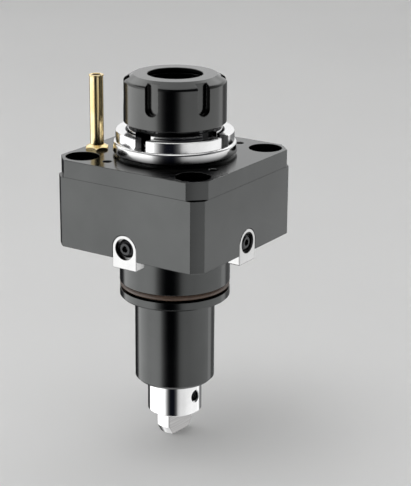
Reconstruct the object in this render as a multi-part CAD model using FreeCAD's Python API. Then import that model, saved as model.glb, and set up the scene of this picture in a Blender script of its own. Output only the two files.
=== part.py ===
import FreeCAD, Part
import math
import os

os.makedirs("parts", exist_ok=True)

# ----------------------------------------------------------------------------
# Axial driven tool holder for a turret: bolted square flange with a 55 mm
# pilot, a live spindle on angular-contact bearings, a collet nut at the top
# and a two-flat drive tang at the bottom.
# Millimetres.  Origin: seating face of the flange, on the spindle axis.
# +Z points to the collet nut, -Z to the drive tang.
# ----------------------------------------------------------------------------

# flange block
flange_t = 44.0            # seating face to top face
half_up = 42.6             # half width over flats, upper band
half_lo = 42.3             # half width over flats, lower band
step_z = 35.2              # shallow machining step between the two bands
corner_r_up = 55.2         # corner arcs, concentric with the axis
corner_r_lo = 56.5
bolt_xy = 32.0             # half of the 64 x 64 bolt square
bolt_hole_r = 5.5          # M10 clearance
bolt_cb_r = 8.3            # counterbore
bolt_cb_depth = 12.0
aux_r = 36.9               # four small tapped holes in the top face
aux_ang = 63.7
aux_hole_r = 2.1
aux_depth = 9.0

# pilot and sleeve
pilot_r = 27.5
pilot_len = 29.0
sleeve_r = 20.0
sleeve_end = -73.6
oring_z = -22.65
oring_groove_w = 4.0
oring_groove_r = 24.3
oring_cord = 3.1

# bores in the housing
cap_thread_r = 27.9
cap_thread_z = 36.6
front_bore_r = 27.5
front_seat_z = 11.0
nut_pocket_r = 24.0
nut_pocket_z = -3.0
mid_bore_r = 13.5
rear_bore_r = 15.0
rear_shoulder_z = -50.0

# slotted bearing ring nut
cap_flange_r = 30.3
cap_flange_top_r = 29.92   # the flange's side is very slightly conical
cap_under = 1.7            # 45 degree chamfer under the flange
cap_rim_r = 28.9
cap_rim_in_r = 23.7
cap_step_z = 50.5
cap_top_z = 55.8
cap_skirt_z = 37.0
cap_bore_r = 21.3
cap_slot_w = 6.0
cap_edge_r = 1.1           # rounded top edge of the ring nut's flange

# spindle
nose_z = 74.0
thread_r = 20.0            # M40 x 1.5 nose thread, drawn as closed rings
neck_r = 18.9
collar_r = 23.0
collar_slot_w = 10.0       # four hook-spanner slots in the collar
collar_slot_floor = 19.6
collar_ang = -8.1          # resting angle of one of them
collar_z0 = 50.8
collar_z1 = 56.95
seal_land_r = 21.0
front_seat_r = 17.5
shaft_r = 11.0
rear_seat_r = 8.5
stub_r = 8.0
stub_end = -88.0
taper_mouth_r = 16.5       # 8 degree collet taper
taper_depth = 33.0
socket_bore_r = 11.0
socket_end = 13.0

thread_pitch = 1.5
thread_h = 0.85

# collet nut
nut_r = 25.0
nut_z0 = 59.8
nut_cyl_z = 80.35
nut_z1 = 83.0
nut_edge_r = 2.0            # rounding between the cylinder and the cone
nut_face_r = 20.2
nut_mouth_r = 13.45
nut_slot_w = 6.7
nut_slot_floor_r = 22.0
nut_slot_z = 66.6
nut_slot_ang = -82.3

# bearings
fb_pitch_r = 22.5          # front pair, 35 x 55 x 10
fb_ball_r = 2.75
fb_count = 18
rb_pitch_r = 11.75         # rear pair, 17 x 30 x 7
rb_ball_r = 1.95
rb_count = 11
race_gap = 0.08

# side keys
key_w = 14.0
key_deep = 10.0
key_foot_deep = 6.4
key_foot_z = -4.6
key_screw_z = 5.4
key_cb_r = 5.3
key_cb_depth = 3.25
key_edge = 0.35            # broken edge round the key's outer face

# coolant tube
tube_xy = (-35.3, -16.0)
tube_r = 3.35
tube_in_r = 2.3
tube_z1 = 81.0
tube_z0 = 37.6

# drive coupling
coup_r = 13.7
coup_z0 = -91.0
coup_z1 = -74.0
tang_r = 9.7
tang_half = 4.0
tang_z = -103.1
tang_cham_z = -99.0
tang_tip_r = 7.4
drive_ang = -5.0           # resting angle of the tang flats and set screw
grub_z = -81.6

V = FreeCAD.Vector
ZAX = V(0, 0, 1)
O = V(0, 0, 0)


def rev(pts):
    """Solid of revolution about Z from a closed (radius, height) outline."""
    p = [V(r, 0, z) for r, z in pts]
    p.append(p[0])
    return Part.Face(Part.makePolygon(p)).revolve(O, ZAX, 360.0)


def cyl(r, z0, z1, x=0.0, y=0.0):
    return Part.makeCylinder(r, z1 - z0, V(x, y, z0), ZAX)


def box(x0, x1, y0, y1, z0, z1):
    return Part.makeBox(x1 - x0, y1 - y0, z1 - z0, V(x0, y0, z0))


def turn(s, ang, x=0.0, y=0.0):
    s = s.copy()
    s.rotate(V(x, y, 0), ZAX, ang)
    return s


def ycyl(r, y0, y1, x, z):
    """Cylinder along Y."""
    return Part.makeCylinder(r, y1 - y0, V(x, y0, z), V(0, 1, 0))


def hexprism(af, z0, z1):
    r = af / math.sqrt(3.0)
    p = [V(r * math.cos(math.radians(60 * i)), r * math.sin(math.radians(60 * i)), z0) for i in range(6)]
    p.append(p[0])
    return Part.Face(Part.makePolygon(p)).extrude(V(0, 0, z1 - z0))


def fuse(first, *rest):
    s = first
    for q in rest:
        s = s.fuse(q)
    return s.removeSplitter()


def cut(s, *tools):
    for t in tools:
        s = s.cut(t)
    return s


def save(name, shape):
    if isinstance(shape, (list, tuple)):
        shape = Part.makeCompound(list(shape))
    shape.exportStep("parts/" + name + ".step")


# ----------------------------------------------------------------------------
# housing: flange, pilot and sleeve in one piece
# ----------------------------------------------------------------------------
def band(half, r, z0, z1, ch_top, ch_bot):
    """Square band with rounded corners concentric with the axis."""
    b = box(-half, half, -half, half, z0, z1)
    outline = [(0, z0), (r - ch_bot, z0), (r, z0 + ch_bot), (r, z1 - ch_top), (r - ch_top, z1), (0, z1)]
    clean = []
    for q in outline:
        if not clean or (abs(q[0] - clean[-1][0]) + abs(q[1] - clean[-1][1])) > 1e-6:
            clean.append(q)
    s = b.common(rev(clean))
    for a in range(4):
        if ch_top > 0:
            c = ch_top
            w = Part.Face(Part.makePolygon([V(-60, -half - 1, z1 - c - 1), V(-60, -half + c + 1, z1 + 1), V(-60, -half - 1, z1 + 1), V(-60, -half - 1, z1 - c - 1)])).extrude(V(120, 0, 0))
            s = s.cut(turn(w, 90 * a))
        if ch_bot > 0:
            c = ch_bot
            w = Part.Face(Part.makePolygon([V(-60, -half - 1, z0 + c + 1), V(-60, -half + c + 1, z0 - 1), V(-60, -half - 1, z0 - 1), V(-60, -half - 1, z0 + c + 1)])).extrude(V(120, 0, 0))
            s = s.cut(turn(w, 90 * a))
    return s


upper = band(half_up, corner_r_up, step_z, flange_t, 0.2, 0.3)
lower = band(half_lo, corner_r_lo, 0.0, step_z, 0.0, 0.5)
og0 = oring_z - oring_groove_w / 2
og1 = oring_z + oring_groove_w / 2
stem = rev([
    (0, 1.0), (pilot_r, 1.0), (pilot_r, og1), (oring_groove_r, og1), (oring_groove_r, og0), (pilot_r, og0),
    (pilot_r, -pilot_len + 0.8), (pilot_r - 0.8, -pilot_len), (sleeve_r, -pilot_len),
    (sleeve_r, sleeve_end + 1.4), (sleeve_r - 1.4, sleeve_end), (0, sleeve_end)])
housing = fuse(upper, lower, stem)
bore = rev([
    (0, sleeve_end - 1), (rear_bore_r + 0.5, sleeve_end - 1), (rear_bore_r + 0.5, sleeve_end), (rear_bore_r, sleeve_end + 0.5),
    (rear_bore_r, rear_shoulder_z), (mid_bore_r, rear_shoulder_z), (mid_bore_r, nut_pocket_z),
    (nut_pocket_r, nut_pocket_z), (nut_pocket_r, front_seat_z), (front_bore_r, front_seat_z),
    (front_bore_r, cap_thread_z), (cap_thread_r, cap_thread_z), (cap_thread_r, flange_t - 0.3),
    (cap_thread_r + 0.3, flange_t), (cap_thread_r + 0.3, flange_t + 1), (0, flange_t + 1)])
housing = housing.cut(bore)
for sx in (-1, 1):
    for sy in (-1, 1):
        x, y = sx * bolt_xy, sy * bolt_xy
        housing = cut(housing, cyl(bolt_hole_r, -1, flange_t + 1, x, y),
                      cyl(bolt_cb_r, flange_t - bolt_cb_depth, flange_t + 1, x, y))
for k in range(4):
    a = math.radians(aux_ang + 90 * k)
    x, y = aux_r * math.cos(a), aux_r * math.sin(a)
    hole = rev([(0, flange_t + 1), (aux_hole_r + 0.3, flange_t + 1), (aux_hole_r + 0.3, flange_t), (aux_hole_r, flange_t - 0.3),
                (aux_hole_r, flange_t - aux_depth), (0, flange_t - aux_depth - 1.2)])
    hole.translate(V(x, y, 0))
    housing = housing.cut(hole)
# key pockets in the four sides, open to the seating face
pc = 0.12
pocket = fuse(box(-key_w / 2 - pc, key_w / 2 + pc, -half_lo - 1, -half_lo + key_deep + pc, -1, key_screw_z),
              ycyl(key_w / 2 + pc, -half_lo - 1, -half_lo + key_deep + pc, 0, key_screw_z))
tap = ycyl(2.52, -half_lo + key_deep - 0.5, -26.2, 0, key_screw_z)
for k in range(4):
    housing = cut(housing, turn(pocket, 90 * k), turn(tap, 90 * k))
# coolant way: inlet in the seating face, straight up to the tube fitting
tx, ty = tube_xy
housing = cut(housing, cyl(2.5, -1, 40, tx, ty), cyl(5.0, 36.6, flange_t + 1, tx, ty))
groove = cyl(5.15, -1, 1.2, tx, ty).cut(cyl(3.35, -1, 1.2, tx, ty))
housing = housing.cut(groove)
save("housing", housing)

# ----------------------------------------------------------------------------
# side keys and their button-head screws
# ----------------------------------------------------------------------------
kw = key_w / 2
yk = -half_lo
key = fuse(box(-kw, kw, yk, yk + key_deep, 0.05, key_screw_z), ycyl(kw, yk, yk + key_deep, 0, key_screw_z),
           box(-kw, kw, yk, yk + key_foot_deep, key_foot_z, 0.05))
key = key.makeChamfer(key_edge, [e for e in key.Edges if abs(e.BoundBox.YMin - yk) < 1e-6 and abs(e.BoundBox.YMax - yk) < 1e-6])
c = 0.5
for sx in (-1, 1):
    w = Part.Face(Part.makePolygon([V(sx * (kw - c), yk - 1, key_foot_z), V(sx * kw, yk - 1, key_foot_z + c),
                                    V(sx * (kw + 1), yk - 1, key_foot_z - 1), V(sx * (kw - c), yk - 1, key_foot_z)])).extrude(V(0, 20, 0))
    key = key.cut(w)
for y0, sy in ((yk + key_foot_deep, 1),):
    w = Part.Face(Part.makePolygon([V(-20, y0 - sy * c, key_foot_z), V(-20, y0, key_foot_z + c),
                                    V(-20, y0 + sy, key_foot_z - 1), V(-20, y0 - sy * c, key_foot_z)])).extrude(V(40, 0, 0))
    key = key.cut(w)
key = cut(key, ycyl(key_cb_r, yk - 1, yk + key_cb_depth, 0, key_screw_z), ycyl(2.75, yk, yk + key_deep + 1, 0, key_screw_z))
save("side_keys", [turn(key, 90 * k) for k in range(4)])


def button_screw(r, rh, flat, hh, edge, length, af):
    """Button-head socket screw, its flat top at z = 0, shank down -Z."""
    c = (rh * rh + edge * edge - flat * flat) / (2 * edge)
    dome = Part.makeSphere(math.sqrt(flat * flat + c * c), V(0, 0, -c))
    head = cyl(rh, -hh, 0).common(dome)
    shank = rev([(0, -hh + 0.5), (r, -hh + 0.5), (r, -hh - length + 0.5), (r - 0.5, -hh - length), (0, -hh - length)])
    s = head.fuse(shank)
    s = cut(s, hexprism(af, -1.7, 1.0))
    return s.cut(Part.makeCone(0.0, af / 2 + 0.5, af / 2 + 0.5, V(0, 0, -af / 2 - 0.2), ZAX))


screw = button_screw(2.45, 4.75, 2.65, 2.75, 2.3, 12.0, 3.0)
screw.rotate(O, V(1, 0, 0), 90)          # head now faces -Y
screw.translate(V(0, yk + key_cb_depth - 2.75, key_screw_z))
save("key_screws", [turn(screw, 90 * k) for k in range(4)])

# ----------------------------------------------------------------------------
# seals on the outside of the housing
# ----------------------------------------------------------------------------
save("pilot_o_ring", Part.makeTorus(oring_groove_r + oring_cord / 2 + 0.02, oring_cord / 2, V(0, 0, og1 - oring_cord / 2 - 0.03), ZAX))
save("coolant_inlet_seal", Part.makeTorus(4.25, 0.75, V(tx, ty, 0.45), ZAX))

# ----------------------------------------------------------------------------
# coolant tube and its hexagon fitting
# ----------------------------------------------------------------------------
tube = rev([(tube_in_r, tube_z0), (tube_r, tube_z0), (tube_r, tube_z1 - 0.9), (tube_r + 0.3, tube_z1 - 0.6),
            (tube_r + 0.3, tube_z1 - 0.2), (tube_r + 0.1, tube_z1), (tube_in_r + 0.3, tube_z1), (tube_in_r, tube_z1 - 0.3)])
tube.translate(V(tx, ty, 0))
save("coolant_tube", tube)
hexa = hexprism(10.7, flange_t, flange_t + 2.4)
cone = rev([(0, flange_t), (6.25, flange_t), (6.25, flange_t + 0.5), (5.6, flange_t + 1.3), (3.7, flange_t + 2.3), (0, flange_t + 2.3)])
fitting = fuse(hexa.common(cone), rev([(0, flange_t), (4.95, flange_t), (4.95, 38.2), (4.5, 37.8), (0, 37.8)]))
fitting = fitting.cut(cyl(tube_r + 0.02, 38.0, 60))
fitting = fitting.cut(cyl(tube_in_r, 30, 60))
fitting = fitting.cut(cyl(tube_r + 0.02, 37.0, 60))
fitting.rotate(O, ZAX, 3.0)
fitting.translate(V(tx, ty, 0))
save("tube_fitting", fitting)

# ----------------------------------------------------------------------------
# slotted bearing ring nut
# ----------------------------------------------------------------------------
cap = rev([
    (cap_bore_r, cap_step_z), (cap_bore_r, flange_t), (26.0, flange_t), (26.0, cap_skirt_z), (cap_thread_r - 0.04, cap_skirt_z),
    (cap_thread_r - 0.04, flange_t - 0.6), (27.5, flange_t - 0.6), (27.5, flange_t), (cap_flange_r - cap_under, flange_t),
    (cap_flange_r, flange_t + cap_under), (cap_flange_top_r, cap_step_z),
    (cap_rim_r, cap_step_z), (cap_rim_r, cap_top_z - 0.3), (cap_rim_r - 0.3, cap_top_z),
    (cap_rim_in_r + 0.2, cap_top_z), (cap_rim_in_r, cap_top_z - 0.2), (cap_rim_in_r, cap_step_z)])
cap = cap.makeFillet(cap_edge_r, [e for e in cap.Edges if abs(e.BoundBox.ZMin - cap_step_z) < 1e-6 and abs(e.BoundBox.ZMax - cap_step_z) < 1e-6
                                  and hasattr(e.Curve, "Radius") and abs(e.Curve.Radius - cap_flange_top_r) < 1e-6])
for k in range(4):
    cap = cap.cut(turn(box(20.0, 40.0, -cap_slot_w / 2, cap_slot_w / 2, cap_step_z + 0.02, cap_top_z + 1), 90 * k))
save("bearing_ring_nut", cap)

# front shaft seal, pressed into the underside of the ring nut
fseal = rev([(21.55, 43.6), (21.08, 41.2), (21.08, 40.8), (21.9, 40.2), (22.3, 42.6), (24.6, 42.6), (24.6, 38.8), (25.97, 38.8), (25.97, 43.6)])
save("front_shaft_seal", fseal)

# ----------------------------------------------------------------------------
# bearings
# ----------------------------------------------------------------------------
def bearing(z0, w, r_in, r_out, r_pitch, rb, n, inner_land, outer_land, relief, relief_top, cage_r0, cage_r1, cage_h):
    zc = z0 + w / 2
    ch = 0.6
    inner = rev([(r_in, z0 + ch), (r_in + ch, z0), (inner_land - 0.2, z0), (inner_land, z0 + 0.2), (inner_land, z0 + w - 0.2),
                 (inner_land - 0.2, z0 + w), (r_in + ch, z0 + w), (r_in, z0 + w - ch)])
    lo = outer_land + (0.0 if relief_top else relief)
    hi = outer_land + (relief if relief_top else 0.0)
    outer = rev([(lo, z0), (r_out - ch, z0), (r_out, z0 + ch), (r_out, z0 + w - ch), (r_out - ch, z0 + w),
                 (hi, z0 + w), (hi, zc), (lo, zc)] if relief else
                [(outer_land, z0), (r_out - ch, z0), (r_out, z0 + ch), (r_out, z0 + w - ch), (r_out - ch, z0 + w), (outer_land, z0 + w)])
    race = Part.makeTorus(r_pitch, rb + race_gap, V(0, 0, zc), ZAX)
    inner = inner.cut(race)
    outer = outer.cut(race)
    balls = []
    cage = rev([(cage_r0, zc - cage_h), (cage_r1, zc - cage_h), (cage_r1, zc + cage_h), (cage_r0, zc + cage_h)])
    for i in range(n):
        a = 2 * math.pi * i / n
        c0 = V(r_pitch * math.cos(a), r_pitch * math.sin(a), zc)
        balls.append(Part.makeSphere(rb, c0))
        d = V(math.cos(a), math.sin(a), 0)
        cage = cage.cut(Part.makeCylinder(rb + 0.12, 12.0, c0 - d * 6.0, d))
    return inner, outer, balls, cage


for i, (z0, top) in enumerate(((27.0, True), (11.0, False)), 1):
    inner, outer, balls, cage = bearing(z0, 10.0, front_seat_r + 0.01, front_bore_r - 0.01, fb_pitch_r, fb_ball_r, fb_count,
                                        20.9, 24.1, 0.8, top, 21.4, 23.6, 3.9)
    save("front_inner_ring_%d" % i, inner)
    save("front_outer_ring_%d" % i, outer)
    save("front_balls_%d" % i, balls)
    save("front_cage_%d" % i, cage)
rear_z = (-59.9, -66.9)
for i, z0 in enumerate(rear_z, 1):
    inner, outer, balls, cage = bearing(z0, 7.0, rear_seat_r + 0.01, rear_bore_r - 0.01, rb_pitch_r, rb_ball_r, rb_count,
                                        10.45, 13.05, 0.0, True, 10.9, 12.6, 2.75)
    save("rear_inner_ring_%d" % i, inner)
    save("rear_outer_ring_%d" % i, outer)
    save("rear_balls_%d" % i, balls)
    save("rear_cage_%d" % i, cage)
save("outer_spacer", rev([(24.4, 21.0), (front_bore_r - 0.05, 21.0), (front_bore_r - 0.05, 27.0), (24.4, 27.0)]))
save("inner_spacer", rev([(front_seat_r + 0.03, 21.0), (20.6, 21.0), (20.6, 27.0), (front_seat_r + 0.03, 27.0)]))

# ----------------------------------------------------------------------------
# rear bearing preload and retention, rear shaft seal
# ----------------------------------------------------------------------------
def wave_ring(r0, r1, zc, amp, waves, th, n):
    """Wavy flat spring: a closed loft through radial sections."""
    secs = []
    for i in range(n):
        a = 2 * math.pi * i / n
        z = zc + amp * math.sin(waves * a)
        ca, sa = math.cos(a), math.sin(a)
        p = [V(r0 * ca, r0 * sa, z - th / 2), V(r1 * ca, r1 * sa, z - th / 2), V(r1 * ca, r1 * sa, z + th / 2), V(r0 * ca, r0 * sa, z + th / 2)]
        p.append(p[0])
        secs.append(Part.makePolygon(p))
    s = Part.makeLoft(secs, True, False, True)
    if not s.Solids:
        s = Part.makeSolid(Part.makeShell(s.Faces))
    if s.Volume < 0:
        s.reverse()
    return s


save("wave_spring", wave_ring(13.75, 14.8, -51.45, 1.1, 3, 0.45, 36))
circ = rev([(13.4, -68.3), (15.8, -68.3), (15.8, -67.1), (13.4, -67.1)])
circ = circ.cut(box(0, 20, -3.0, 3.0, -70, -65))
lugs = []
for s_ in (-1, 1):
    lug = Part.makeCylinder(1.5, 1.2, V(12.9, s_ * 4.6, -68.3), ZAX).cut(Part.makeCylinder(0.7, 2.0, V(12.9, s_ * 4.6, -68.8), ZAX))
    lugs.append(lug)
circ = fuse(circ, *lugs).cut(cyl(12.0, -70, -65))
hous_groove = rev([(14.0, -68.34), (15.85, -68.34), (15.85, -67.06), (14.0, -67.06)])
housing = housing.cut(hous_groove)
save("housing", housing)
save("bearing_circlip", circ)
rseal = rev([(8.95, -73.2), (8.58, -71.4), (8.58, -71.0), (9.3, -70.4), (9.7, -72.2), (13.6, -72.2), (13.6, -69.0), (14.97, -69.0), (14.97, -73.2)])
save("rear_shaft_seal", rseal)

# ----------------------------------------------------------------------------
# spindle
# ----------------------------------------------------------------------------
def thread_out(z_top, z_bot, r_crest):
    """Outline of ring grooves at the thread's pitch, going down, cut inwards."""
    out = []
    n = int((z_top - z_bot - 0.2) / thread_pitch)
    for i in range(n):
        z = z_top - 0.1 - i * thread_pitch
        out += [(r_crest, z), (r_crest - thread_h, z - 0.66), (r_crest - thread_h, z - 0.76), (r_crest, z - 1.42)]
    return out


def thread_in(z_bot, z_top, r_crest):
    """The same going up, cut outwards into a bore."""
    out = []
    n = int((z_top - z_bot - 0.2) / thread_pitch)
    for i in range(n):
        z = z_bot + 0.1 + i * thread_pitch
        out += [(r_crest, z), (r_crest + thread_h, z + 0.66), (r_crest + thread_h, z + 0.76), (r_crest, z + 1.42)]
    return out


t8 = math.tan(math.radians(8.0))
r_small = taper_mouth_r - taper_depth * t8
spindle = rev([
    (taper_mouth_r + 0.3, nose_z), (thread_r - 1.0, nose_z), (thread_r, nose_z - 1.0)] + thread_out(nose_z - 1.0, 59.4, thread_r) + [
    (thread_r, 59.4), (neck_r, 58.6), (neck_r, collar_z1),
    (collar_r - 0.2, collar_z1), (collar_r, collar_z1 - 0.2), (collar_r, collar_z0), (seal_land_r, collar_z0), (seal_land_r, 37.0),
    (front_seat_r, 37.0), (front_seat_r, 2.6), (front_seat_r - 0.8, 1.8), (16.0, 1.2), (12.0, -2.2), (shaft_r, -4.0), (shaft_r, -50.0),
    (shaft_r - 0.8, -52.9), (rear_seat_r, -52.9), (rear_seat_r, -73.4), (stub_r, -73.8), (stub_r, stub_end + 0.6), (stub_r - 0.6, stub_end),
    (0, stub_end), (0, socket_end - 3.0), (socket_bore_r, socket_end), (socket_bore_r, nose_z - taper_depth - 1.0),
    (r_small, nose_z - taper_depth), (taper_mouth_r, nose_z - 0.3)])
for k in range(4):
    spindle = spindle.cut(turn(box(collar_slot_floor, 30, -collar_slot_w / 2, collar_slot_w / 2, collar_z0 + 1.6, collar_z1 + 0.5), collar_ang + 90 * k))
# dimple flat for the coupling set screw and seat for the coupling key
spindle = spindle.cut(turn(box(stub_r - 0.6, 12, -4, 4, grub_z - 3.2, grub_z + 3.2), drive_ang))
keyseat = box(-12, -stub_r + 3.0, -2.5, 2.5, -86.0, -76.0)
spindle = spindle.cut(turn(keyseat, drive_ang))
save("spindle", spindle)
save("coupling_key", turn(box(-stub_r - 1.9, -stub_r + 2.95, -2.48, 2.48, -85.9, -76.1), drive_ang))

# slotted locknut that clamps the inner rings, with its locking screws
lock = rev([(front_seat_r + 0.03, 3.2), (18.2, 2.8), (21.4, 2.8), (22.0, 3.4), (22.0, 10.4), (21.4, 11.0), (front_seat_r + 0.03, 11.0)])
for k in range(4):
    lock = lock.cut(turn(box(20.2, 30, -2.5, 2.5, 2.0, 7.4), 90 * k + 45))
for k in range(2):
    lock = lock.cut(turn(Part.makeCylinder(2.0, 8.0, V(16.0, 0, 6.9), V(1, 0, 0)), 180 * k))
save("spindle_locknut", lock)
gs = Part.makeCylinder(1.95, 3.6, V(front_seat_r + 0.1, 0, 6.9), V(1, 0, 0))
hx = hexprism(2.0, 0, 2.2)
hx.rotate(O, V(0, 1, 0), 90)
hx.translate(V(front_seat_r + 0.1 + 3.6 - 2.0, 0, 6.9))
gs = gs.cut(hx)
save("locknut_screws", [turn(gs, 180 * k) for k in range(2)])

# ----------------------------------------------------------------------------
# drive coupling with the two-flat tang
# ----------------------------------------------------------------------------
coup = rev([(0, coup_z0), (coup_r - 0.5, coup_z0), (coup_r, coup_z0 + 0.5), (coup_r, coup_z1 - 0.5), (coup_r - 0.5, coup_z1), (0, coup_z1)])
tang = rev([(0, tang_z), (tang_tip_r, tang_z), (tang_r, tang_cham_z), (tang_r, coup_z0 + 0.5), (0, coup_z0 + 0.5)])
tang = tang.common(box(-tang_half, tang_half, -30, 30, tang_z - 1, coup_z0 + 1))
coup = fuse(coup, tang)
coup = coup.cut(rev([(0, stub_end - 1.2), (stub_r + 0.02, stub_end - 0.6), (stub_r + 0.02, coup_z1 - 0.5), (stub_r + 0.52, coup_z1), (stub_r + 0.52, coup_z1 + 1), (0, coup_z1 + 1)]))
coup = coup.cut(Part.makeCylinder(2.7, 12.0, V(5.0, 0, grub_z), V(1, 0, 0)))
coup = coup.cut(Part.makeCone(2.7, 3.5, 0.8, V(13.0, 0, grub_z), V(1, 0, 0)))
coup = coup.cut(box(-stub_r - 2.0, -5.0, -2.5, 2.5, stub_end - 0.6, coup_z1 + 1))
save("drive_coupling", turn(coup, drive_ang))
grub_len = 3.4
grub = Part.makeCylinder(2.66, grub_len, V(stub_r - 0.55, 0, grub_z), V(1, 0, 0))
hx = hexprism(3.0, 0, 3.0)
hx.rotate(O, V(0, 1, 0), 90)
hx.translate(V(stub_r - 0.55 + grub_len - 2.0, 0, grub_z))
grub = grub.cut(hx)
save("coupling_set_screw", turn(grub, drive_ang))

# ----------------------------------------------------------------------------
# collet nut and the extraction ring held inside it
# ----------------------------------------------------------------------------
nut = rev(thread_in(nut_z0 + 0.9, 75.2, thread_r + 0.06)[::-1] + [
    (thread_r + 0.06, nut_z0 + 0.9), (thread_r + 0.95, nut_z0), (nut_r - 0.2, nut_z0), (nut_r, nut_z0 + 0.2), (nut_r, nut_cyl_z),
    (nut_face_r, nut_z1), (nut_mouth_r + 0.25, nut_z1), (nut_mouth_r, nut_z1 - 0.25), (nut_mouth_r, 81.4), (15.2, 80.3), (18.8, 80.3),
    (18.8, 76.0), (18.25, 75.7), (18.25, 75.2), (thread_r + 0.06, 75.2)])
nut = nut.makeFillet(nut_edge_r, [e for e in nut.Edges if abs(e.BoundBox.ZMin - nut_cyl_z) < 1e-6 and abs(e.BoundBox.ZMax - nut_cyl_z) < 1e-6
                                  and hasattr(e.Curve, "Radius") and abs(e.Curve.Radius - nut_r) < 1e-6])
hw = nut_slot_w / 2
rr = hw - 0.05             # slots end in a full round
prof = [V(17.0, -hw, 90), V(17.0, -hw, nut_slot_z + rr)]
e1 = Part.makeLine(prof[0], prof[1])
m = V(17.0, -hw + rr * (1 - math.sqrt(0.5)), nut_slot_z + rr * (1 - math.sqrt(0.5)))
a1 = Part.Arc(prof[1], m, V(17.0, -hw + rr, nut_slot_z)).toShape()
e2 = Part.makeLine(V(17.0, -hw + rr, nut_slot_z), V(17.0, hw - rr, nut_slot_z))
m = V(17.0, hw - rr * (1 - math.sqrt(0.5)), nut_slot_z + rr * (1 - math.sqrt(0.5)))
a2 = Part.Arc(V(17.0, hw - rr, nut_slot_z), m, V(17.0, hw, nut_slot_z + rr)).toShape()
e3 = Part.makeLine(V(17.0, hw, nut_slot_z + rr), V(17.0, hw, 90))
e4 = Part.makeLine(V(17.0, hw, 90), V(17.0, -hw, 90))
slot = Part.Face(Part.Wire([e1, a1, e2, a2, e3, e4])).extrude(V(14, 0, 0)).cut(cyl(nut_slot_floor_r, nut_slot_z - 5, 95))
for k in range(6):
    nut = nut.cut(turn(slot, nut_slot_ang + 60 * k))
save("collet_nut", nut)
ering = rev([(0, 76.1), (18.35, 76.1), (18.6, 76.35), (18.6, 79.9), (18.3, 80.2), (0, 80.2)])
ering = ering.cut(rev([(0, 75), (15.4, 75), (14.3, 77.2), (14.3, 81), (0, 81)]).translated(V(0.35, 0, 0)))
save("extraction_ring", ering)
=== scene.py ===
import math

import bmesh
import bpy
from mathutils import Matrix, Vector


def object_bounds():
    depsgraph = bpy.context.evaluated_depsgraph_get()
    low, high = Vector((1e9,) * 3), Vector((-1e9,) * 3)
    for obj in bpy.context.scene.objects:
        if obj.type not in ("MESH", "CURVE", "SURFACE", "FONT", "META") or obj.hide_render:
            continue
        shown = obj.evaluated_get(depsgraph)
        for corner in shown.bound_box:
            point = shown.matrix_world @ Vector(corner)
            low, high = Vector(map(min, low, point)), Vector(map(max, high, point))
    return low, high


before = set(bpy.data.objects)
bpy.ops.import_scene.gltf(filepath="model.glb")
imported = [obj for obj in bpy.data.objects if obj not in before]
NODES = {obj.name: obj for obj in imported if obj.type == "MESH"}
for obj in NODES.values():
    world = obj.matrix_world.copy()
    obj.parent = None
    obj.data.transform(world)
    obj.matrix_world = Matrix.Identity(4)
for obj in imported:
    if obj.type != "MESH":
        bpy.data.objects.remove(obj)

CAD_BOX = [list(map(float, v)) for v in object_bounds()]
scene = bpy.context.scene
MM = 0.001

# ---------------------------------------------------------------------------
# camera: the photograph's own viewing angle, as a fixed pinhole
# ---------------------------------------------------------------------------
RIGHT = Vector((0.83467048, 0.55069865, 0.00749526))
UP = Vector((-0.17804633, 0.25692883, 0.94988793))
BACK = Vector((0.52117626, -0.79417792, 0.31250078))
EYE = Vector((0.41024094, -0.59747339, 0.23579853))

cam_data = bpy.data.cameras.new("camera")
cam_data.sensor_width = 36.0
cam_data.sensor_fit = "AUTO"
cam_data.lens = 113.788
cam_data.clip_start = 0.01
cam_data.clip_end = 60.0
camera = bpy.data.objects.new("camera", cam_data)
scene.collection.objects.link(camera)
m = Matrix((RIGHT, UP, BACK)).transposed().to_4x4()
m.translation = EYE
camera.matrix_world = m
scene.camera = camera

scene.view_settings.view_transform = "Standard"
scene.view_settings.look = "None"
scene.view_settings.exposure = 0.0
scene.view_settings.gamma = 1.0


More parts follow.
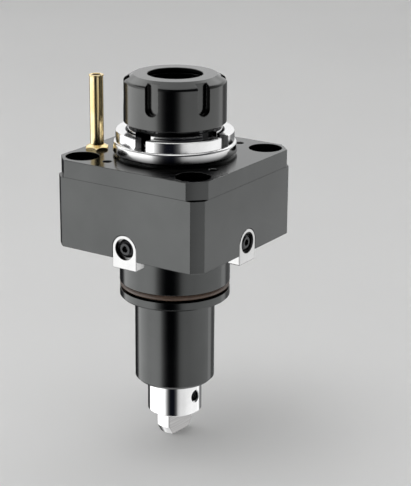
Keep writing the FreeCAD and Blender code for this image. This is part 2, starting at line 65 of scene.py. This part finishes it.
# ---------------------------------------------------------------------------
# a short way to write node trees
# ---------------------------------------------------------------------------
class Tree:
    """One node tree, with a method for each kind of node that is used."""

    def __init__(self, nt):
        self.nt = nt

    def node(self, kind, **props):
        n = self.nt.nodes.new(kind)
        for k, v in props.items():
            setattr(n, k, v)
        return n

    def put(self, sock, val):
        if val is None:
            return
        if isinstance(val, bpy.types.NodeSocket):
            self.nt.links.new(val, sock)
        else:
            sock.default_value = val

    def math(self, op, a, b=None, c=None, clamp=False):
        n = self.node("ShaderNodeMath", operation=op, use_clamp=clamp)
        for s, v in zip(n.inputs, (a, b, c)):
            self.put(s, v)
        return n.outputs[0]

    def vec(self, op, a, b=None, scale=None):
        n = self.node("ShaderNodeVectorMath", operation=op)
        self.put(n.inputs[0], a)
        self.put(n.inputs[1], b)
        if scale is not None:
            self.put(n.inputs["Scale"], scale)
        return n.outputs["Value"] if op in ("DOT_PRODUCT", "LENGTH", "DISTANCE") else n.outputs["Vector"]

    def xyz(self, v):
        n = self.node("ShaderNodeSeparateXYZ")
        self.put(n.inputs[0], v)
        return n.outputs[0], n.outputs[1], n.outputs[2]

    def join(self, x, y, z):
        n = self.node("ShaderNodeCombineXYZ")
        for s, v in zip(n.inputs, (x, y, z)):
            self.put(s, v)
        return n.outputs[0]

    def coords(self, which="Object"):
        return self.node("ShaderNodeTexCoord").outputs[which]

    def noise(self, vec, scale, detail=2.0, rough=0.5, distort=0.0, w=None):
        n = self.node("ShaderNodeTexNoise", noise_dimensions="4D" if w is not None else "3D")
        self.put(n.inputs["Vector"], vec)
        if w is not None:
            self.put(n.inputs["W"], w)
        n.inputs["Scale"].default_value = scale
        n.inputs["Detail"].default_value = detail
        n.inputs["Roughness"].default_value = rough
        n.inputs["Distortion"].default_value = distort
        return n.outputs[0]

    def voronoi(self, vec, scale, feature="F1", out="Distance", rand=1.0):
        n = self.node("ShaderNodeTexVoronoi", feature=feature)
        self.put(n.inputs["Vector"], vec)
        n.inputs["Scale"].default_value = scale
        n.inputs["Randomness"].default_value = rand
        return n.outputs[out]

    def span(self, v, a, b, c=0.0, d=1.0, smooth=False):
        n = self.node("ShaderNodeMapRange", interpolation_type="SMOOTHSTEP" if smooth else "LINEAR", clamp=True)
        self.put(n.inputs["Value"], v)
        n.inputs["From Min"].default_value = a
        n.inputs["From Max"].default_value = b
        n.inputs["To Min"].default_value = c
        n.inputs["To Max"].default_value = d
        return n.outputs["Result"]

    def mix(self, fac, a, b):
        n = self.node("ShaderNodeMix", data_type="RGBA")
        self.put(n.inputs[0], fac)
        for s, v in ((n.inputs[6], a), (n.inputs[7], b)):
            if isinstance(v, (tuple, list)):
                s.default_value = (v[0], v[1], v[2], 1.0)
            else:
                self.put(s, v)
        return n.outputs[2]

    def fmix(self, fac, a, b):
        n = self.node("ShaderNodeMix", data_type="FLOAT")
        self.put(n.inputs[0], fac)
        self.put(n.inputs[2], a)
        self.put(n.inputs[3], b)
        return n.outputs[0]

    def bump(self, height, distance, strength=1.0, normal=None):
        n = self.node("ShaderNodeBump")
        n.inputs["Strength"].default_value = strength
        n.inputs["Distance"].default_value = distance
        self.put(n.inputs["Height"], height)
        self.put(n.inputs["Normal"], normal)
        return n.outputs[0]

    def bevel(self, radius, samples=4):
        n = self.node("ShaderNodeBevel", samples=samples)
        n.inputs["Radius"].default_value = radius
        return n.outputs[0]


def new_material(name, color, metallic, rough, **fixed):
    mat = bpy.data.materials.new(name)
    mat.use_nodes = True
    mat.node_tree.nodes.clear()
    t = Tree(mat.node_tree)
    bsdf = t.node("ShaderNodeBsdfPrincipled")
    out = t.node("ShaderNodeOutputMaterial")
    t.nt.links.new(bsdf.outputs[0], out.inputs[0])
    bsdf.inputs["Base Color"].default_value = (color[0], color[1], color[2], 1.0)
    bsdf.inputs["Metallic"].default_value = metallic
    bsdf.inputs["Roughness"].default_value = rough
    for k, v in fixed.items():
        bsdf.inputs[k.replace("_", " ")].default_value = v
    mat.diffuse_color = (color[0], color[1], color[2], 1.0)
    return mat, t, bsdf


def turned_noise(t, p, scale, along, cx=0.0, cy=0.0, detail=3.0, rough=0.6):
    """Streaks that run round the Z axis through (cx, cy): fine across, long round the part."""
    x, y, z = t.xyz(p)
    if cx or cy:
        x = t.math("SUBTRACT", x, cx)
        y = t.math("SUBTRACT", y, cy)
    r = t.math("SQRT", t.math("ADD", t.math("MULTIPLY", x, x), t.math("MULTIPLY", y, y)))
    r = t.math("MAXIMUM", r, 1e-5)
    c = t.math("MULTIPLY", t.math("DIVIDE", x, r), along)
    s = t.math("MULTIPLY", t.math("DIVIDE", y, r), along)
    rs = t.math("MULTIPLY", r, scale)
    zs = t.math("MULTIPLY", z, scale)
    return t.noise(t.join(rs, zs, c), 1.0, detail, rough, w=s)


def edge_mask(t, radius, lo=0.012, hi=0.11):
    """1 on sharp edges, 0 elsewhere; and the rounded normal that goes with it."""
    b = t.bevel(radius)
    g = t.node("ShaderNodeNewGeometry").outputs["Normal"]
    d = t.math("SUBTRACT", 1.0, t.vec("DOT_PRODUCT", b, g))
    return t.span(d, lo, hi), b


def scratches(t, p, scale, width=0.006, seed=0.0):
    """Long, thin, nearly straight lines in two directions, broken up by a coarser mask."""
    out = None
    for k, (a, b) in enumerate((((0.62, 0.35, 0.70), (0.78, -0.28, -0.56)), ((-0.50, 0.66, 0.56), (0.45, 0.75, -0.48)))):
        u = t.math("MULTIPLY", t.vec("DOT_PRODUCT", p, a), scale * 0.10)
        v = t.math("MULTIPLY", t.vec("DOT_PRODUCT", p, b), scale * 3.0)
        n = t.noise(t.join(t.math("ADD", u, seed + 2.7 * k), v, seed), 1.0, 1.0, 0.4)
        line = t.span(t.math("ABSOLUTE", t.math("SUBTRACT", n, 0.5)), 0.0, width, 1.0, 0.0)
        gate = t.span(t.noise(t.vec("ADD", p, (seed, k, -seed)), scale * 0.7, 2.0, 0.5), 0.58, 0.66)
        line = t.math("MULTIPLY", line, gate)
        out = line if out is None else t.math("MAXIMUM", out, line)
    return out


# ---------------------------------------------------------------------------
# materials
# ---------------------------------------------------------------------------
def black_oxide(name, base, rough, turned, seed, wear=(0.42, 0.42, 0.41), wear_amount=0.35, spread=0.05, mouth_shade=None, shadow_lines=None):
    """Ground or turned steel under a thin black oxide: dark metal, glossy, a little cloudy, rubbed at its edges."""
    mat, t, bsdf = new_material(name, base, 1.0, rough)
    p = t.coords()
    cloud = t.noise(t.vec("ADD", p, (seed, 0.0, seed)), 28.0, 4.0, 0.55)
    fine = t.noise(t.vec("ADD", p, (0.0, seed, 0.0)), 900.0, 3.0, 0.6)
    if turned:
        grain = turned_noise(t, p, 5200.0, 1.6)
        lines = turned_noise(t, p, 1500.0, 0.9, detail=2.0)
    else:
        nx, ny, nz = t.xyz(t.coords("Normal"))
        up = t.span(t.math("ABSOLUTE", nz), 0.55, 0.8)
        side = t.vec("MULTIPLY", p, (60.0, 60.0, 4200.0))
        top = t.vec("MULTIPLY", p, (60.0, 4200.0, 4200.0))
        g1 = t.noise(side, 1.0, 3.0, 0.6)
        g2 = t.noise(top, 1.0, 3.0, 0.6)
        grain = t.fmix(up, g1, g2)
        l1 = t.noise(t.vec("MULTIPLY", p, (18.0, 18.0, 1100.0)), 1.0, 2.0, 0.5)
        l2 = t.noise(t.vec("MULTIPLY", p, (18.0, 1100.0, 1100.0)), 1.0, 2.0, 0.5)
        lines = t.fmix(up, l1, l2)
    edge, round_n = edge_mask(t, 0.00035)
    rub = t.math("MULTIPLY", edge, t.span(t.noise(p, 420.0, 3.0, 0.6), 0.35, 0.7))
    rub = t.math("MULTIPLY", rub, wear_amount)
    scr = t.math("MULTIPLY", scratches(t, p, 55.0, seed=seed + 0.3), 0.035)
    dark = tuple(c * 0.90 for c in base)
    lite = tuple(c * 1.10 for c in base)
    col = t.mix(t.span(cloud, 0.3, 0.7), dark, lite)
    col = t.mix(t.math("MAXIMUM", rub, scr), col, wear)
    r = t.span(cloud, 0.25, 0.75, rough - spread, rough + spread)
    # painted shade: inside the collet nut's mouth (inside the given radius, below the given height) the colour is set
    # near black and the roughness raised
    if mouth_shade:
        mx, my, mz = t.xyz(p)
        rad = t.math("SQRT", t.math("ADD", t.math("MULTIPLY", mx, mx), t.math("MULTIPLY", my, my)))
        painted_shade = t.math("MULTIPLY", t.span(rad, mouth_shade[0], mouth_shade[0] + 0.0002, 1.0, 0.0), t.span(mz, mouth_shade[1], mouth_shade[1] + 0.0002, 1.0, 0.0))
        col = t.mix(painted_shade, col, (0.012, 0.012, 0.0125))
        r = t.math("ADD", r, t.math("MULTIPLY", painted_shade, 0.3))
    # painted shadow lines: thin near-black bands round the part at the given heights, standing in for the shadow under
    # a step and under the pilot's edge
    for level, half in shadow_lines or ():
        off = t.math("ABSOLUTE", t.math("SUBTRACT", t.xyz(p)[2], level))
        col = t.mix(t.span(off, half, half + 0.0001, 0.75, 0.0), col, tuple(c * 0.12 for c in base))
    t.put(bsdf.inputs["Base Color"], col)
    r = t.math("ADD", r, t.span(grain, 0.2, 0.8, -0.03, 0.03))
    r = t.math("ADD", r, t.math("MULTIPLY", scr, 0.5))
    t.put(bsdf.inputs["Roughness"], t.math("MAXIMUM", r, 0.05))
    h = t.math("ADD", t.math("MULTIPLY", grain, 0.35), t.math("MULTIPLY", lines, 0.65))
    h = t.math("ADD", h, t.math("MULTIPLY", fine, 0.15))
    h = t.math("SUBTRACT", h, t.math("MULTIPLY", scr, 2.0))
    t.put(bsdf.inputs["Normal"], t.bump(h, 0.0000020, 1.0, round_n))
    return mat


def bright_steel(name, base, rough, turned, seed, spread=0.04, depth=0.0000016, edge_r=0.0003, lines_scale=1400.0, dull=0.82, bore_shade_radius=0.0, neck_shade_colour=None, brushed=0.0, flats=None, skirt=None):
    """Turned and polished, or ground, bright steel with tool lines, faint cloudiness and small handling marks."""
    mat, t, bsdf = new_material(name, base, 1.0, rough)
    p = t.coords()
    cloud = t.noise(t.vec("ADD", p, (seed, seed, 0.0)), 60.0, 4.0, 0.55)
    # painted shade: inside the given radius and above z 10 mm the bore is coloured near black, mixed in below
    if bore_shade_radius:
        bx, by, bz = t.xyz(p)
        rad = t.math("SQRT", t.math("ADD", t.math("MULTIPLY", bx, bx), t.math("MULTIPLY", by, by)))
        painted_shade = t.math("MULTIPLY", t.span(rad, bore_shade_radius, bore_shade_radius + 0.0004, 1.0, 0.0), t.span(bz, 0.010, 0.0104))
    if brushed:
        t.put(bsdf.inputs["Tangent"], t.node("ShaderNodeTangent", direction_type="RADIAL", axis="Z").outputs[0])
        bsdf.inputs["Anisotropic"].default_value = brushed
        bsdf.inputs["Anisotropic Rotation"].default_value = 0.25
    if turned == "z":
        grain = turned_noise(t, p, 6000.0, 1.2)
        lines = turned_noise(t, p, lines_scale, 0.7, detail=2.0)
    elif turned == "flat":
        grain = t.noise(t.vec("MULTIPLY", p, (5200.0, 5200.0, 90.0)), 1.0, 3.0, 0.6)
        lines = t.noise(t.vec("MULTIPLY", p, (1300.0, 1300.0, 30.0)), 1.0, 2.0, 0.5)
    else:
        grain = t.noise(p, 2600.0, 3.0, 0.6)
        lines = t.noise(p, 700.0, 2.0, 0.5)
    edge, round_n = edge_mask(t, edge_r)
    scr = scratches(t, p, 90.0, seed=seed + 0.9)
    marks = t.math("MULTIPLY", scr, 0.10)
    low = tuple(c * dull for c in base)
    col = t.mix(t.span(cloud, 0.28, 0.72), low, base)
    col = t.mix(marks, col, tuple(c * 0.55 for c in base))
    if skirt:
        # milled slot walls: duller, with fine lines where the cutter ran
        milled = t.math("MULTIPLY", t.span(t.math("MINIMUM", t.math("ABSOLUTE", bx), t.math("ABSOLUTE", by)), 0.00305, 0.0031, 1.0, 0.0),
                        t.span(bz, skirt[2] + 0.0006, skirt[2] + 0.0007))
        cutter = t.noise(t.join(t.math("MULTIPLY", rad, 2600.0), 0.0, 0.0), 1.0, 2.0, 0.5)
        col = t.mix(milled, col, t.mix(t.span(cutter, 0.35, 0.65), (0.62, 0.62, 0.615), (0.95, 0.95, 0.945)))
        # painted shade: the flange's side is darkened towards its bottom, near black at its foot
        foot_shade = t.math("MULTIPLY", t.span(rad, skirt[0] - 0.0002, skirt[0]), t.span(bz, skirt[1], skirt[2], 0.88, 0.0, smooth=True))
        col = t.mix(foot_shade, col, (0.02, 0.02, 0.021))
    if flats:
        ang = math.radians(flats[0])
        across = t.math("ABSOLUTE", t.vec("DOT_PRODUCT", p, (math.cos(ang), math.sin(ang), 0.0)))
        milled = t.math("MULTIPLY", t.span(across, flats[1] - 0.00025, flats[1] - 0.0001), t.span(t.xyz(p)[2], flats[2] - 0.0002, flats[2], 1.0, 0.0))
        pass_lines = t.noise(t.vec("MULTIPLY", p, (40.0, 40.0, 2600.0)), 1.0, 2.0, 0.5)
        col = t.mix(milled, col, t.mix(t.span(pass_lines, 0.3, 0.7), (0.36, 0.355, 0.35), (0.46, 0.455, 0.45)))
    # painted shade under the collet nut: the neck above z 50 mm, inside r 22.7 mm, takes a near-black colour
    if neck_shade_colour:
        neck_shade = t.math("MULTIPLY", t.span(bz, 0.0500, 0.0504), t.span(rad, 0.0226, 0.0228, 1.0, 0.0))
        col = t.mix(neck_shade, col, neck_shade_colour)
    # painted shade inside the bore: near-black colour
    if bore_shade_radius:
        col = t.mix(painted_shade, col, (0.045, 0.046, 0.048))
    t.put(bsdf.inputs["Base Color"], col)
    r = t.span(cloud, 0.25, 0.75, rough - spread, rough + spread)
    r = t.math("ADD", r, t.span(lines, 0.2, 0.8, -0.025, 0.025))
    r = t.math("ADD", r, t.math("MULTIPLY", marks, 0.4))
    if skirt:
        r = t.math("ADD", r, t.math("MULTIPLY", milled, 0.38))
    r = t.math("ADD", r, t.math("MULTIPLY", edge, 0.03))
    t.put(bsdf.inputs["Roughness"], t.math("MAXIMUM", r, 0.03))
    h = t.math("ADD", t.math("MULTIPLY", grain, 0.4), t.math("MULTIPLY", lines, 0.6))
    h = t.math("SUBTRACT", h, t.math("MULTIPLY", marks, 1.5))
    t.put(bsdf.inputs["Normal"], t.bump(h, depth, 1.0, round_n))
    return mat


def brass_metal(name, base, rough, cx, cy, seed):
    """Drawn brass: fine lines along the tube and slight, browner tarnish clouds."""
    mat, t, bsdf = new_material(name, base, 1.0, rough)
    p = t.coords()
    x, y, z = t.xyz(p)
    drawn = t.noise(t.vec("MULTIPLY", t.vec("ADD", p, (seed, 0.0, 0.0)), (3200.0, 3200.0, 26.0)), 1.0, 3.0, 0.6)
    cloud = t.noise(t.vec("MULTIPLY", p, (1.0, 1.0, 0.55)), 170.0, 4.0, 0.55)
    spots = t.span(t.noise(p, 900.0, 2.0, 0.5), 0.60, 0.72)
    edge, round_n = edge_mask(t, 0.00025)
    low = (base[0] * 0.80, base[1] * 0.74, base[2] * 0.60)
    col = t.mix(t.span(cloud, 0.32, 0.72), base, low)
    col = t.mix(t.math("MULTIPLY", spots, 0.35), col, (base[0] * 0.62, base[1] * 0.50, base[2] * 0.36))
    t.put(bsdf.inputs["Base Color"], col)
    r = t.span(cloud, 0.25, 0.75, rough - 0.04, rough + 0.06)
    r = t.math("ADD", r, t.span(drawn, 0.2, 0.8, -0.04, 0.04))
    t.put(bsdf.inputs["Roughness"], t.math("MAXIMUM", r, 0.05))
    h = t.math("ADD", t.math("MULTIPLY", drawn, 0.7), t.math("MULTIPLY", cloud, 0.3))
    t.put(bsdf.inputs["Normal"], t.bump(h, 0.0000030, 1.0, round_n))
    return mat


def rubber(name, base, rough, seed, lite=1.35, spec=0.5):
    """Moulded rubber: fine pits, a faint bloom, no sharp shine."""
    mat, t, bsdf = new_material(name, base, 0.0, rough, Specular_IOR_Level=spec)
    p = t.coords()
    cloud = t.noise(t.vec("ADD", p, (seed, seed, seed)), 140.0, 4.0, 0.6)
    pits = t.noise(p, 2400.0, 3.0, 0.65)
    col = t.mix(t.span(cloud, 0.3, 0.7), tuple(c * 0.85 for c in base), tuple(c * lite for c in base))
    t.put(bsdf.inputs["Base Color"], col)
    t.put(bsdf.inputs["Roughness"], t.span(pits, 0.2, 0.8, rough - 0.07, rough + 0.07))
    t.put(bsdf.inputs["Normal"], t.bump(pits, 0.000012, 1.0))
    return mat


def cage_material(name, base, seed):
    """Machined cloth-filled resin: a warm brown with a fine woven fleck."""
    mat, t, bsdf = new_material(name, base, 0.0, 0.42)
    p = t.coords()
    x, y, z = t.xyz(p)
    weave = t.math("MULTIPLY", t.math("SINE", t.math("MULTIPLY", z, 9000.0)), t.math("SINE", t.math("MULTIPLY", t.math("ADD", x, y), 7000.0)))
    cloud = t.noise(p, 220.0, 4.0, 0.6)
    f = t.math("ADD", t.math("MULTIPLY", weave, 0.22), cloud)
    col = t.mix(t.span(f, 0.25, 0.8), tuple(c * 0.7 for c in base), tuple(min(1.0, c * 1.25) for c in base))
    t.put(bsdf.inputs["Base Color"], col)
    t.put(bsdf.inputs["Roughness"], t.span(f, 0.2, 0.8, 0.36, 0.5))
    t.put(bsdf.inputs["Normal"], t.bump(f, 0.000010, 1.0))
    return mat


def spring_metal(name, base, seed):
    """Tempered spring steel: blue-grey with straw patches."""
    mat, t, bsdf = new_material(name, base, 1.0, 0.3)
    p = t.coords()
    cloud = t.noise(t.vec("ADD", p, (seed, 0.0, 0.0)), 160.0, 4.0, 0.6)
    fine = t.noise(p, 2600.0, 3.0, 0.6)
    col = t.mix(t.span(cloud, 0.35, 0.7), base, (base[0] * 1.5, base[1] * 1.3, base[2] * 0.85))
    t.put(bsdf.inputs["Base Color"], col)
    t.put(bsdf.inputs["Roughness"], t.span(fine, 0.2, 0.8, 0.24, 0.38))
    t.put(bsdf.inputs["Normal"], t.bump(fine, 0.000003, 1.0))
    return mat


BLACK = (0.088, 0.0905, 0.0895)
MATS = {
    "housing": black_oxide("black_steel", BLACK, 0.17, False, 0.0, shadow_lines=((0.0353, 0.00012), (-0.0286, 0.00035))),
    "turned_black": black_oxide("black_steel_turned", BLACK, 0.17, True, 1.7),
    "nut": black_oxide("black_nut", (0.090, 0.0915, 0.090), 0.16, True, 3.1, mouth_shade=(0.0136, 0.0827)),
    "screw": black_oxide("black_screw", (0.060, 0.061, 0.063), 0.24, False, 5.2, wear_amount=0.6),
    "ground": bright_steel("ground_steel", (0.80, 0.80, 0.795), 0.20, "", 0.4),
    "key": bright_steel("ground_steel_key", (0.66, 0.66, 0.655), 0.20, "flat", 2.2),
    "spindle": bright_steel("ground_steel_turned", (0.80, 0.80, 0.795), 0.14, "z", 4.0, bore_shade_radius=0.0168, neck_shade_colour=(0.060, 0.061, 0.062)),
    "chrome": bright_steel("bright_chrome", (0.96, 0.96, 0.955), 0.115, "z", 6.1, spread=0.015, bore_shade_radius=0.0240, brushed=0.35, skirt=(0.0294, 0.0457, 0.0500)),
    "coupling": bright_steel("polished_steel", (0.95, 0.95, 0.945), 0.065, "z", 8.3, spread=0.02, flats=(-5.0, 0.004, -0.091)),
    "bearing": bright_steel("bearing_steel", (0.82, 0.82, 0.81), 0.07, "z", 9.7, spread=0.02),
    "ball": bright_steel("bearing_steel_ball", (0.86, 0.86, 0.86), 0.05, "", 11.9, spread=0.015, depth=0.0000006),
    "brass": brass_metal("brass", (0.90, 0.74, 0.43), 0.20, 0.0, 0.0, 0.7),
    "brown": rubber("brown_rubber", (0.078, 0.050, 0.036), 0.30, 0.2),
    "black_rubber": rubber("black_rubber", (0.018, 0.018, 0.019), 0.5, 0.9),
    "cage": cage_material("cage_resin", (0.42, 0.27, 0.12), 0.1),
    "spring": spring_metal("spring_steel", (0.25, 0.26, 0.30), 0.6),
}

LOOK = {
    "housing": "housing", "side_keys": "key", "key_screws": "screw", "pilot_o_ring": "brown", "coolant_inlet_seal": "black_rubber",
    "coolant_tube": "brass", "tube_fitting": "brass", "bearing_ring_nut": "chrome", "front_shaft_seal": "black_rubber",
    "front_outer_ring_1": "bearing", "front_outer_ring_2": "bearing", "outer_spacer": "ground", "rear_outer_ring_1": "bearing",
    "rear_outer_ring_2": "bearing", "wave_spring": "spring", "bearing_circlip": "spring", "rear_shaft_seal": "black_rubber",
    "spindle": "spindle", "front_inner_ring_1": "bearing", "front_inner_ring_2": "bearing", "inner_spacer": "ground",
    "spindle_locknut": "screw", "locknut_screws": "screw", "rear_inner_ring_1": "bearing", "rear_inner_ring_2": "bearing",
    "drive_coupling": "coupling", "coupling_key": "ground", "coupling_set_screw": "screw",
    "front_cage_1": "cage", "front_cage_2": "cage", "rear_cage_1": "cage", "rear_cage_2": "cage",
    "front_balls_1": "ball", "front_balls_2": "ball", "rear_balls_1": "ball", "rear_balls_2": "ball",
    "extraction_ring": "screw", "collet_nut": "nut",
}
for node_name, obj in NODES.items():
    mat = MATS[LOOK[node_name]]
    if not obj.material_slots:
        obj.data.materials.append(mat)
    for slot in obj.material_slots:
        slot.material = mat


# ---------------------------------------------------------------------------
# studio: surroundings as soft panels fixed in the room, pale cove floor
# ---------------------------------------------------------------------------
def make_world():
    """Soft panels to the left and right below eye level, a dark room in front, a bright rear wall and an even ceiling."""
    world = bpy.data.worlds.new("studio")
    scene.world = world
    world.use_nodes = True
    world.node_tree.nodes.clear()
    t = Tree(world.node_tree)
    bg = t.node("ShaderNodeBackground")
    out = t.node("ShaderNodeOutputWorld")
    t.nt.links.new(bg.outputs[0], out.inputs[0])
    d = t.coords("Generated")
    a0 = math.radians(-56.1)
    fwd = t.vec("DOT_PRODUCT", d, (math.cos(a0), math.sin(a0), 0.0))
    side = t.vec("DOT_PRODUCT", d, (-math.sin(a0), math.cos(a0), 0.0))
    turn = t.math("MULTIPLY_ADD", t.math("ARCTAN2", side, fwd), 0.5 / math.pi, 0.5)
    dz = t.xyz(d)[2]
    rise = t.math("MULTIPLY_ADD", t.math("ARCSINE", dz), 1.0 / math.pi, 0.5)

    def curve(x, points, lo, hi, top):
        """A smooth curve through (degrees, brightness) points."""
        n = t.node("ShaderNodeFloatCurve")
        n.mapping.use_clip = False
        c = n.mapping.curves[0]
        while len(c.points) < len(points):
            c.points.new(0.5, 0.5)
        for q, (a, v) in zip(c.points, points):
            q.location = ((a - lo) / (hi - lo), v / top)
            q.handle_type = "AUTO_CLAMPED"
        n.mapping.update()
        t.put(n.inputs["Value"], x)
        return t.math("MULTIPLY", n.outputs[0], top)

    low = curve(turn, [(-180, .2), (-160, .03), (-141, .04), (-131, .9), (-117, 1.9), (-95, 1.8), (-77, 1.6), (-66, 1.65), (-46, 1.5),
                       (-39, .85), (-32, .35), (-25, .08), (-18, .006), (-4, .004), (1, .03), (8, .15), (14, .5), (21, .7), (30, .8),
                       (42, .82), (56, .9), (90, 1.0), (110, 1.0), (122, 1.2), (138, .2), (165, .2), (180, .2)], -180, 180, 2.0)
    near = curve(turn, [(-180, 1.0), (-140, 1.0), (-124, .9), (-100, .9), (-68, 1.15), (-56, .95), (-44, .45), (-32, .16), (-20, .05), (0, .006),
                        (30, .02), (60, .05), (74, .08), (88, .25), (106, .33), (124, .7), (140, 1.0), (180, 1.0)], -180, 180, 2.0)
    high = curve(turn, [(-180, 1.0), (-140, 1.0), (-124, .7), (-110, .12), (-70, .08), (-30, .02), (0, .006), (30, .02), (70, .05),
                        (110, .08), (124, .7), (140, 1.0), (180, 1.0)], -180, 180, 2.0)
    mid = t.fmix(t.span(dz, math.sin(math.radians(22)), math.sin(math.radians(32)), smooth=True), near, high)
    glow = curve(rise, [(-90, .8), (-10, .8), (8, .95), (20, 1.02), (33, 1.75), (42, 1.75), (52, 1.35), (66, 1.0), (90, .95)], -90, 90, 2.0)
    mid = t.math("MULTIPLY", mid, glow)
    v = t.fmix(t.span(dz, math.sin(math.radians(-9)), math.sin(math.radians(1)), smooth=True), low, mid)
    v = t.fmix(t.span(dz, math.sin(math.radians(52)), math.sin(math.radians(66)), smooth=True), v, glow)
    v = t.fmix(t.span(dz, -0.60, -0.95, smooth=True), v, 0.75)
    col = t.join(t.math("ADD", v, 0.0005), t.math("ADD", v, 0.0012), t.math("ADD", v, 0.0045))
    t.put(bg.inputs["Color"], col)
    bg.inputs["Strength"].default_value = 1.0


make_world()


def make_floor():
    """A round floor that curves up into a low wall all round, as in a photo studio."""
    z0 = CAD_BOX[0][2] - 0.00005
    prof = []
    for i in range(25):
        prof.append((2.4 * i / 24.0, 0.0))
    for i in range(1, 25):
        a = math.pi / 2 * i / 24.0
        prof.append((2.4 + 1.1 * math.sin(a), 1.1 * (1 - math.cos(a))))
    prof.append((3.5, 3.2))
    bm = bmesh.new()
    seg = 128
    rings = []
    for r, h in prof:
        if r == 0.0:
            rings.append([bm.verts.new((0, 0, z0))])
            continue
        rings.append([bm.verts.new((r * math.cos(2 * math.pi * k / seg), r * math.sin(2 * math.pi * k / seg), z0 + h)) for k in range(seg)])
    for a, b in zip(rings, rings[1:]):
        for k in range(seg):
            k2 = (k + 1) % seg
            if len(a) == 1:
                bm.faces.new((a[0], b[k], b[k2]))
            else:
                bm.faces.new((a[k], b[k], b[k2], a[k2]))
    me = bpy.data.meshes.new("floor")
    bm.to_mesh(me)
    bm.free()
    for poly in me.polygons:
        poly.use_smooth = True
    floor = bpy.data.objects.new("floor", me)
    scene.collection.objects.link(floor)
    mat, t, bsdf = new_material("floor_paper", (0.74, 0.74, 0.735), 0.0, 0.9, Specular_IOR_Level=0.2)
    p = t.coords()
    n = t.noise(p, 3.0, 4.0, 0.5)
    t.put(bsdf.inputs["Base Color"], t.mix(t.span(n, 0.3, 0.7), (0.735, 0.735, 0.73), (0.755, 0.755, 0.75)))
    t.put(bsdf.inputs["Normal"], t.bump(t.noise(p, 900.0, 3.0, 0.6), 0.00002, 0.6))
    me.materials.append(mat)
    floor.visible_glossy = False
    floor.visible_shadow = False
    return floor


make_floor()


def area(name, loc, target, size, power, glossy=False):
    data = bpy.data.lights.new(name, "AREA")
    data.shape = "DISK"
    data.size = size
    data.energy = power
    o = bpy.data.objects.new(name, data)
    scene.collection.objects.link(o)
    o.location = loc
    o.rotation_euler = (Vector(target) - Vector(loc)).to_track_quat("-Z", "Y").to_euler()
    o.visible_glossy = glossy
    return o


area("soft_top", (-0.5, -0.5, 1.7), (0, 0, 0), 1.3, 8.0)
